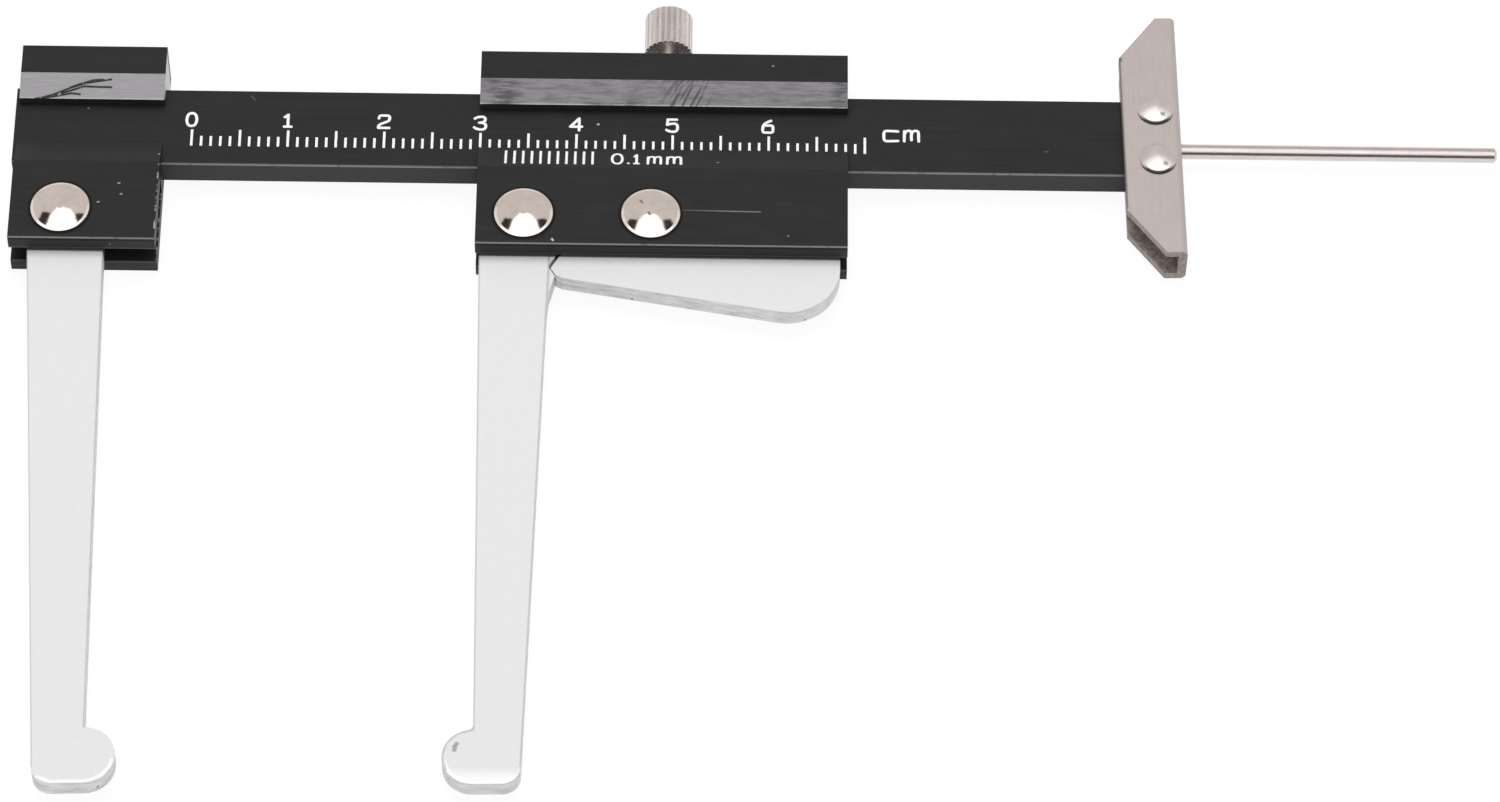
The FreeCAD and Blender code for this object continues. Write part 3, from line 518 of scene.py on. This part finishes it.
def turned_rivet(name, centres, askew=0.0, dents=()):
    """Polished head of a large rivet. centres holds each head's X and Y. askew is the slope along X
    of a head that was set a little out of square. dents are dark runs."""
    made = Finish(name, RIVET_TINT, 0.075, metallic=1.0)
    cloud = made.noise((700, 700, 700), 4.0)
    darker = tuple(0.9 * part for part in RIVET_TINT)
    tone = made.mix(made.ramp(cloud, 0.35, 0.65), darker, RIVET_TINT)
    if dents:
        tone = made.over(tone, made.strokes(dents, 0.17), 0.75, (0.2, 0.18, 0.18))
    made.colour(tone)
    made.rough(cloud, 0.05, 0.1)
    # The rim rolls over to the seat
    rolled = made.node("ShaderNodeMapRange", clamp=True, interpolation_type="SMOOTHSTEP")
    rolled.inputs["From Min"].default_value = RIVET_RADIUS * MM
    rolled.inputs["From Max"].default_value = (RIVET_RADIUS - ROLL_WIDTH) * MM
    made.join(made.from_nearest(centres), rolled.inputs["Value"])
    height = rolled.outputs["Result"]
    if askew:
        height = made.math("ADD", height, made.math("MULTIPLY", made.axis("X"), -askew / ROLL_DEPTH))
    made.relief(height, 1.0, ROLL_DEPTH)
    return made.material


def bridge_rivet(name):
    """Domed sheet-metal rivet: as dull as the plate towards the rear, a painted highlight in front, painted
    shade at its seat.
    """
    made = Finish(name, (0.54, 0.47, 0.45), 0.36, metallic=0.35)
    cloud = made.noise((900, 900, 900), 3.0)
    tone = made.mix(made.ramp(cloud, 0.35, 0.65), (0.51, 0.445, 0.425), (0.57, 0.50, 0.475))
    # Painted highlight: brightest low in the middle, fading towards the sides and the rear
    sideways = made.math("MULTIPLY", made.math("ABSOLUTE", made.facing("X")), 0.45)
    front_highlight = made.ramp(made.math("ADD", made.facing("Y"), sideways), 0.1, -0.26)
    tone = made.mix(front_highlight, tone, (0.96, 0.92, 0.89))
    # A painted dark reflection: a small spot low on the right of each head
    dark_reflection_spots = [[(x + 0.55, y - 0.86), (x + 0.9, y - 0.82)] for x, y in BRIDGE_RIVETS]
    tone = made.over(tone, made.strokes(dark_reflection_spots, 0.28), 0.8, (0.25, 0.22, 0.18))
    # Painted shade: a dark rim where the head's front meets the sheet
    rim = made.ramp(made.from_nearest(BRIDGE_RIVETS), RIM_INNER * MM, RIM_OUTER * MM)
    low = made.ramp(made.facing("Y"), -0.17, -0.38)
    made.colour(made.over(tone, rim, low, (0.04, 0.035, 0.03)))
    made.rough(cloud, 0.32, 0.4)
    return made.material


def white_filling(name):
    """Paint wiped into the engraving."""
    made = Finish(name, (0.86, 0.86, 0.85), 0.6, specular=0.3)
    grain = made.noise((4000, 4000, 4000), 3.0)
    made.colour(made.mix(made.ramp(grain, 0.3, 0.6), (0.80, 0.80, 0.79), (0.92, 0.92, 0.91)))
    return made.material


def give(node, material):
    """The finish of one solid piece."""
    mesh = nodes[node].data
    mesh.materials.clear()
    mesh.materials.append(material)


give("beam", black_anodised("beam_anodised", BEAM_WEAR_AND_HIGHLIGHT_LINES, beam_marks, front=0.046))
give("fixed_head", black_anodised("head_anodised", SECTION_WEAR_AND_LIGHT_LINES, head_marks, sawn_end=True))
give("slider_frame", black_anodised("slider_anodised", SECTION_WEAR_AND_LIGHT_LINES, slider_marks))

fixed = jaw_runs(rivet_x=-2.35, lean=1.65, side=1, inner=4.39, outer=-3.61, taper=0.0456,
                 drop=64.0, radius=3.15)
give("fixed_jaw", silver_plate("fixed_jaw_silver", fixed["edges"], 0.16, [fixed["rim"]]))
moving = jaw_runs(rivet_x=45.35, lean=1.2, side=-1, inner=4.62, outer=-2.81, taper=0.0423,
                  drop=63.45, radius=3.07)
TOE_DENTS = [[(40.15, -71.0), (40.5, -70.45)], [(40.2, -71.4), (40.3, -70.9)]]
give("moving_jaw", silver_plate("moving_jaw_silver", moving["edges"] + [moving["rear"]], 0.2,
                                [moving["rim"]], bright_below=-73.2, dents=TOE_DENTS))
give("release_lever", silver_plate("lever_silver"))

LEVER_RIVET_DENTS = [[(57.35, -6.95), (57.6, -7.25)], [(58.22, -8.5), (58.35, -8.8)]]
give("fixed_jaw_rivet", turned_rivet("head_rivet_nickel", HEAD_RIVET, askew=0.036))
give("moving_jaw_rivet", turned_rivet("jaw_rivet_nickel", SLIDER_RIVETS[:1]))
give("lever_rivet", turned_rivet("lever_rivet_nickel", SLIDER_RIVETS[1:], dents=LEVER_RIVET_DENTS))

give("depth_bridge", sheared_sheet("satin_nickel_sheet"))
small_rivets = bridge_rivet("bridge_rivet_nickel")
give("bridge_rivet_upper", small_rivets)
give("bridge_rivet_lower", small_rivets)
give("depth_rod", nickel("rod_nickel", (0.72, 0.66, 0.64), low=0.16, high=0.26,
                         stretch=(200, 6000, 6000), metallic=0.95))
give("lock_screw", nickel("knob_nickel", (0.78, 0.71, 0.69), low=0.2, high=0.32,
                          stretch=(4000, 500, 4000), metallic=0.85))
inner_steel = nickel("inner_steel", (0.45, 0.45, 0.46), low=0.3, high=0.45,
                     stretch=(400, 4000, 4000), metallic=0.8)
for node in ("head_pin_left", "head_pin_right", "lever_spring", "gib_leaf_spring", "rod_anchor"):
    give(node, inner_steel)
white = white_filling("white_filling")


# Rows of graduation lines, made by one tree
def graduation_tree():
    """Lines along X on one base line. Each whose number divides by Long Every has the long length."""
    tree = bpy.data.node_groups.new("graduation_row", "GeometryNodeTree")
    face = tree.interface
    face.new_socket("Geometry", in_out="OUTPUT", socket_type="NodeSocketGeometry")
    face.new_socket("Count", in_out="INPUT", socket_type="NodeSocketInt")
    for name in ("Spacing", "Line Width", "Short Length", "Long Length", "Paint Depth"):
        face.new_socket(name, in_out="INPUT", socket_type="NodeSocketFloat")
    face.new_socket("Long Every", in_out="INPUT", socket_type="NodeSocketInt")
    face.new_socket("Paint", in_out="INPUT", socket_type="NodeSocketMaterial")
    new = tree.nodes.new
    given = new("NodeGroupInput").outputs
    row = new("GeometryNodeMeshLine")
    offset = new("ShaderNodeCombineXYZ")
    index = new("GeometryNodeInputIndex")
    remainder = new("ShaderNodeMath")
    remainder.operation = "MODULO"
    is_long = new("FunctionNodeCompare")
    is_long.data_type = "FLOAT"
    is_long.operation = "LESS_THAN"
    length = new("GeometryNodeSwitch")
    length.input_type = "FLOAT"
    size = new("ShaderNodeCombineXYZ")
    stem = new("GeometryNodeMeshCube")
    # The line stands on its base line and its underside lies at zero
    lift = new("GeometryNodeTransform")
    lift.inputs["Translation"].default_value = (0, 0.5, 0.5)
    put = new("GeometryNodeInstanceOnPoints")
    real = new("GeometryNodeRealizeInstances")
    coat = new("GeometryNodeSetMaterial")
    out = new("NodeGroupOutput")
    link = tree.links.new
    link(given["Count"], row.inputs["Count"])
    link(given["Spacing"], offset.inputs["X"])
    link(offset.outputs[0], row.inputs["Offset"])
    link(index.outputs[0], remainder.inputs[0])
    link(given["Long Every"], remainder.inputs[1])
    link(remainder.outputs[0], is_long.inputs[0])
    is_long.inputs[1].default_value = 0.5
    link(is_long.outputs[0], length.inputs["Switch"])
    link(given["Short Length"], length.inputs["False"])
    link(given["Long Length"], length.inputs["True"])
    link(given["Line Width"], size.inputs["X"])
    link(length.outputs[0], size.inputs["Y"])
    link(given["Paint Depth"], size.inputs["Z"])
    link(stem.outputs["Mesh"], lift.inputs["Geometry"])
    link(row.outputs["Mesh"], put.inputs["Points"])
    link(lift.outputs["Geometry"], put.inputs["Instance"])
    link(size.outputs[0], put.inputs["Scale"])
    link(put.outputs["Instances"], real.inputs["Geometry"])
    link(real.outputs["Geometry"], coat.inputs["Geometry"])
    link(given["Paint"], coat.inputs["Material"])
    link(coat.outputs["Geometry"], out.inputs[0])
    return tree


ROW_TREE = graduation_tree()

# The paint's thickness, the step between strokes that cross, and how far it sits in the beam and the bevel
PAINT_DEPTH = 0.012
CROSSING_STEP = 0.004
BEAM_SINK = 0.002
BEVEL_SINK = 0.001


def plain_mesh(carrier, name, place):
    """The evaluated object as a plain mesh piece, with its place put into its points."""
    shape = bpy.data.meshes.new_from_object(carrier.evaluated_get(bpy.context.evaluated_depsgraph_get()))
    shape.transform(place)
    shape.name = name
    piece = add_object(name, shape)
    bpy.data.objects.remove(carrier)
    return piece


def graduation_row(name, place, count, spacing, width, short, long, every):
    """A row of painted lines as one piece. Lengths are millimetres."""
    carrier = add_object(name + "_row", bpy.data.meshes.new(name + "_row"))
    modifier = carrier.modifiers.new("row", "NODES")
    modifier.node_group = ROW_TREE
    values = {
        "Count": count,
        "Spacing": spacing * MM,
        "Line Width": width * MM,
        "Short Length": short * MM,
        "Long Length": long * MM,
        "Paint Depth": PAINT_DEPTH * MM,
        "Long Every": every,
        "Paint": white,
    }
    for socket in ROW_TREE.interface.items_tree:
        if socket.name in values and socket.in_out == "INPUT":
            modifier[socket.identifier] = values[socket.name]
    bpy.context.view_layer.update()
    return plain_mesh(carrier, name, place)


# Stroke letters in a box one wide and one high. R is a rounded run, O a rounded closed one, S straight.
STROKES = {
    "0": [("O", [(0.2, 1.04), (0.8, 1.04), (1.0, 0.5), (0.8, -0.04), (0.2, -0.04), (0.0, 0.5)])],
    "1": [("S", [(0.22, 0.80), (0.52, 1), (0.52, 0)]), ("S", [(0.2, 0), (0.84, 0)])],
    "2": [("R", [(0.04, 0.80), (0.06, 1.04), (0.5, 1.04), (1.02, 1.04), (1.02, 0.62), (0.62, 0.46),
                 (0.0, 0.26), (0.02, 0)]), ("S", [(0.02, 0), (1, 0)])],
    "3": [("R", [(0.04, 0.88), (0.25, 1.03), (0.98, 1.05), (0.98, 0.55), (0.45, 0.54)]),
          ("R", [(0.45, 0.54), (1.05, 0.55), (1.05, -0.03), (0.25, -0.04), (0.0, 0.14)])],
    "4": [("S", [(0.8, 0), (0.8, 1), (0.0, 0.3), (1.04, 0.3)])],
    "5": [("S", [(0.94, 1), (0.14, 1), (0.08, 0.56)]),
          ("R", [(0.08, 0.56), (0.4, 0.66), (1.02, 0.66), (1.02, -0.02), (0.3, -0.03), (0.02, 0.12)])],
    "6": [("R", [(0.78, 1), (0.35, 0.86), (0.06, 0.6), (0.04, 0.3)]),
          ("O", [(0.5, 0.6), (0.95, 0.6), (0.97, 0.3), (0.95, 0), (0.5, 0), (0.05, 0), (0.03, 0.3),
                 (0.05, 0.6)])],
    "c": [("R", [(1, 0.96), (0.3, 1.02), (0.0, 0.95), (-0.02, 0.5), (0.0, 0.02), (0.3, -0.02), (1, 0.02)])],
    "m": [("S", [(0, 0), (0.02, 0.98)]),
          ("R", [(0.02, 0.65), (0.08, 1.02), (0.5, 1.05), (0.5, 0.6), (0.5, 0.12)]),
          ("R", [(0.5, 0.65), (0.56, 1.02), (0.98, 1.05), (1.0, 0.6), (1.0, 0)])],
    ".": [("S", [(0.46, 0.02), (0.54, 0.02)])],
}
# Points to each bend of a rounded run, and the angles at which a stroke's round end is cut
STEPS = 5
END_ANGLES = (25, 50, 72)


def rounded_run(points, closed):
    """Points along a smooth curve that the given points pull into shape."""
    count = len(points)
    middles = [(points[i] + points[(i + 1) % count]) / 2 for i in range(count)]
    if closed:
        spans = [(middles[i - 1], points[i], middles[i]) for i in range(count)]
    else:
        starts = [points[0]] + middles[1:count - 2]
        ends = middles[1:count - 2] + [points[-1]]
        spans = list(zip(starts, points[1:-1], ends))
    run = []
    for start, pull, end in spans:
        for step in range(STEPS):
            t = step / STEPS
            run.append(start * (1 - t) ** 2 + pull * 2 * t * (1 - t) + end * t * t)
    return run if closed else run + [points[-1]]


def painted_run(mesh, points, closed, half, thick):
    """One pen stroke as a thin closed band with round ends, added to a bmesh."""
    count = len(points)
    sections = []
    for i, point in enumerate(points):
        before = points[i - 1] if closed or i else point
        after = points[(i + 1) % count] if closed or i < count - 1 else point
        sections.append((point, (after - before).normalized(), half))
    if not closed:
        start, along = sections[0][:2]
        end, onward = sections[-1][:2]
        turns = [math.radians(angle) for angle in END_ANGLES]
        first = [(start - along * half * math.sin(a), along, half * math.cos(a)) for a in reversed(turns)]
        last = [(end + onward * half * math.sin(a), onward, half * math.cos(a)) for a in turns]
        sections = first + sections + last
    rings = []
    for point, along, wide in sections:
        side = Vector((-along.y, along.x)) * wide
        left, right = point + side, point - side
        corners = ((left, thick), (right, thick), (right, 0), (left, 0))
        rings.append([mesh.verts.new((corner.x, corner.y, height)) for corner, height in corners])
    pairs = list(zip(rings, rings[1:]))
    if closed:
        pairs.append((rings[-1], rings[0]))
    for one, two in pairs:
        for k in range(4):
            mesh.faces.new((one[k], one[(k + 1) % 4], two[(k + 1) % 4], two[k]))
    if not closed:
        mesh.faces.new(rings[0][::-1])
        mesh.faces.new(rings[-1])


def stroke_text(name, words, pen, place):
    """Filled letters. words holds (letter, left, base, width, height) in millimetres."""
    mesh = bmesh.new()
    for letter, left, base, width, height in words:
        runs = []
        for kind, points in STROKES[letter]:
            points = [Vector(((left + x * width) * MM, (base + y * height) * MM)) for x, y in points]
            if kind == "S":
                runs += [(list(pair), False) for pair in zip(points, points[1:])]
            else:
                runs.append((rounded_run(points, kind == "O"), kind == "O"))
        # Strokes that cross end at slightly different heights
        for level, (points, closed) in enumerate(runs):
            painted_run(mesh, points, closed, pen / 2 * MM, (PAINT_DEPTH + CROSSING_STEP * level) * MM)
    bmesh.ops.recalc_face_normals(mesh, faces=mesh.faces)
    shape = bpy.data.meshes.new(name)
    mesh.to_mesh(shape)
    mesh.free()
    shape.transform(place)
    shape.materials.append(white)
    return add_object(name, shape)


# The scale on the beam
BEAM_TOP = 4.45
TICK_BASE = 2.3
TICK_WIDTH = 0.26
on_beam = Matrix.Translation(spot(0, 0, BEAM_TOP - BEAM_SINK))
tick_place = Matrix.Translation(spot(0, TICK_BASE, BEAM_TOP - BEAM_SINK))
ticks = graduation_row("scale_lines", tick_place, count=71, spacing=1.0, width=TICK_WIDTH,
                       short=1.24, long=2.07, every=5)
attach(ticks, "beam_side")
# Each number stands by its own long line: letter, left, base, width and height
DIGIT_LEFT, DIGIT_BASE, UNIT_BASE = -0.68, 4.86, 3.98
digits = [(str(number), 10 * number + DIGIT_LEFT, DIGIT_BASE, 1.15, 1.52) for number in range(7)]
digits += [("c", 72.0, UNIT_BASE, 1.45, 1.3), ("m", 74.1, UNIT_BASE, 1.5, 1.3)]
numbers = stroke_text("scale_numbers", digits, pen=0.3, place=on_beam)
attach(numbers, "beam_side")

# The vernier on the slider's bevel, which rises from its lip towards the jaws
lip_y, lip_z = 2.4, 4.65
ridge_y, ridge_z = -0.9, 6.0
READING = 32.75
VERNIER_BASE, LABEL_BASE = -3.04, -2.79
bevel_lean = math.atan2(ridge_z - lip_z, lip_y - ridge_y)
on_bevel = Matrix.Translation(spot(0, lip_y, lip_z - BEVEL_SINK)) @ Matrix.Rotation(-bevel_lean, 4, "X")
vernier_place = on_bevel @ Matrix.Translation(Vector((READING * MM, VERNIER_BASE * MM, 0)))
vernier = graduation_row("vernier_lines", vernier_place, count=11, spacing=0.9, width=TICK_WIDTH,
                         short=2.45, long=2.45, every=5)
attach(vernier, "slider_side")
label = [(letter, left, LABEL_BASE, width, height) for letter, left, width, height in (
    ("0", 43.72, 1.18, 1.71), (".", 45.28, 0.4, 1.6), ("1", 45.95, 0.7, 1.65),
    ("m", 47.49, 1.34, 1.3), ("m", 49.49, 1.42, 1.3))]
words = stroke_text("vernier_words", label, pen=0.28, place=on_bevel)
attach(words, "slider_side")


# Studio: white floor and backdrop for the eye, plain soft light on the object
def white_world():
    """A background that is full white to the eye and in mirrors, and softer as a light."""
    world = bpy.data.worlds.new("studio")
    bpy.context.scene.world = world
    world.use_nodes = True
    tree = world.node_tree
    tree.nodes.clear()
    path = tree.nodes.new("ShaderNodeLightPath")
    seen = tree.nodes.new("ShaderNodeMath")
    seen.operation = "MAXIMUM"
    also = tree.nodes.new("ShaderNodeMath")
    also.operation = "MAXIMUM"
    level = tree.nodes.new("ShaderNodeMapRange")
    level.inputs["To Min"].default_value = 0.55
    level.inputs["To Max"].default_value = 1.0
    sky = tree.nodes.new("ShaderNodeBackground")
    out = tree.nodes.new("ShaderNodeOutputWorld")
    link = tree.links.new
    link(path.outputs["Is Camera Ray"], seen.inputs[0])
    link(path.outputs["Is Glossy Ray"], seen.inputs[1])
    link(seen.outputs[0], also.inputs[0])
    link(path.outputs["Is Transmission Ray"], also.inputs[1])
    link(also.outputs[0], level.inputs["Value"])
    link(level.outputs["Result"], sky.inputs["Strength"])
    link(sky.outputs[0], out.inputs["Surface"])


# The floor's half side and its drop under the table's level, in metres
FLOOR_SIDE = 6.0
FLOOR_DROP = 0.00002


def white_floor():
    """A white floor that keeps the object's shadow: mostly glow to the eye, plain paint to the light."""
    corners = [(x * FLOOR_SIDE, y * FLOOR_SIDE, 0) for x, y in ((-1, -1), (1, -1), (1, 1), (-1, 1))]
    mesh = bpy.data.meshes.new("floor")
    mesh.from_pydata(corners, [], [(0, 1, 2, 3)])
    floor = add_object("floor", mesh)
    floor.location.z = -FLOOR_DROP
    made = Finish("floor_white", (0.9, 0.9, 0.9), 0.8, specular=0.0)
    path = made.node("ShaderNodeLightPath")
    glow = made.node("ShaderNodeEmission")
    glow.inputs["Strength"].default_value = 1.03
    blend = made.node("ShaderNodeMixShader")
    seen = made.math("MAXIMUM", path.outputs["Is Camera Ray"], path.outputs["Is Glossy Ray"])
    seen = made.math("MAXIMUM", seen, path.outputs["Is Transmission Ray"])
    made.join(made.math("MULTIPLY", seen, 0.9), blend.inputs[0])
    made.join(made.shader.outputs[0], blend.inputs[1])
    made.join(glow.outputs[0], blend.inputs[2])
    made.join(blend.outputs[0], surface_of(made.tree))
    mesh.materials.append(made.material)


# The studio's cards only show in reflections. Lengths are metres, and colours have a touch of warmth.
CARD_COLOUR = (1.0, 0.985, 0.97, 1)
CARD_MIDDLE = Vector((0.055, -0.01, 0.0))
CARD_REACH = 2.4
CEILING = 2.0
CEILING_X = 0.02


def glowing_card(name, points, faces, level):
    """A mesh that glows and that neither the eye nor the plain light meets."""
    shape = bpy.data.meshes.new(name)
    shape.from_pydata(points, [], faces)
    card = add_object(name, shape)
    paint = bpy.data.materials.new(name)
    paint.use_nodes = True
    tree = paint.node_tree
    glow = tree.nodes.new("ShaderNodeEmission")
    glow.inputs["Color"].default_value = CARD_COLOUR
    glow.inputs["Strength"].default_value = level
    tree.links.new(glow.outputs[0], surface_of(tree))
    shape.materials.append(paint)
    card.visible_camera = False
    card.visible_diffuse = False
    card.visible_transmission = False
    card.visible_shadow = False


def studio_card(name, heights, sides, level):
    """A curved card far round the part. heights and sides are degrees up from the table and degrees
    to the right of straight behind."""
    rows, columns = 6, 8
    points, faces = [], []
    for i in range(rows + 1):
        up = math.radians(heights[0] + (heights[1] - heights[0]) * i / rows)
        for j in range(columns + 1):
            out = math.radians(sides[0] + (sides[1] - sides[0]) * j / columns)
            way = Vector((math.cos(up) * math.sin(out), math.cos(up) * math.cos(out), math.sin(up)))
            points.append(CARD_MIDDLE + way * CARD_REACH)
    for i in range(rows):
        for j in range(columns):
            k = i * (columns + 1) + j
            faces.append((k, k + 1, k + columns + 2, k + columns + 1))
    glowing_card(name, points, faces, level)


def ceiling_card(name, corners, level, height=CEILING):
    """A flat card over the part. corners are metres from the point straight above it."""
    points = [(CEILING_X + x, y, height) for x, y in corners]
    glowing_card(name, points, [tuple(range(len(corners)))], level)


def soft_lamp(name, place, aim, side, power):
    """A square lamp that lights the part without showing in its reflections."""
    lamp = bpy.data.lights.new(name, "AREA")
    lamp.shape = "SQUARE"
    lamp.size = side
    lamp.energy = power
    thing = add_object(name, lamp)
    thing.location = place
    thing.visible_glossy = False
    thing.rotation_euler = (Vector(aim) - Vector(place)).to_track_quat("-Z", "Y").to_euler()


white_world()
white_floor()
studio_card("grey_wall", heights=(12, 64), sides=(-40, 40), level=0.6)
studio_card("grey_ceiling", heights=(64, 90), sides=(-90, 90), level=0.6)
studio_card("dark_front", heights=(5, 45), sides=(120, 240), level=0.08)
SOFT_BOX = ((-0.48, 0.36), (0.48, 0.36), (0.34, 0.95), (0.2, 1.2), (-0.2, 1.2), (-0.34, 0.95))
FRONT_BOX = ((-1.5, -1.2), (1.5, -1.2), (1.5, 0.35), (-1.5, 0.35))
ceiling_card("soft_box", SOFT_BOX, level=1.4)
ceiling_card("front_box", FRONT_BOX, level=1.4)
# Dark flags hang just under the soft box's left and right rims
FLAG = ((0.44, 0.55), (0.72, 0.66), (0.62, 1.1), (0.36, 1.0))
for name, side in (("flag_left", -1), ("flag_right", 1)):
    ceiling_card(name, [(x * side, y) for x, y in FLAG], level=0.02, height=CEILING - 0.01)
LAMP_AIM = (0.07, -0.02, 0.0)
soft_lamp("overhead", (0.0, 0.25, 0.9), LAMP_AIM, side=0.6, power=6.0)
soft_lamp("front_fill", (0.25, -0.7, 0.5), LAMP_AIM, side=0.4, power=1.2)

# Camera: straight lens at the photograph's distance and angle
eye = bpy.data.cameras.new("camera")
eye.sensor_width = 36.0
eye.lens = 158.344
eye.clip_start = 0.01
camera = add_object("camera", eye)
across = Vector((0.99991564, 0.00812976, 0.0101297))
upward = Vector((-0.01235587, 0.83582365, 0.54885897))
stand = Vector((0.06618521, -0.39731352, 0.56335069))
turn = Matrix((across, upward, across.cross(upward))).transposed().to_4x4()
camera.matrix_world = Matrix.Translation(stand) @ turn
bpy.context.scene.camera = camera
bpy.context.scene.view_settings.view_transform = "Standard"
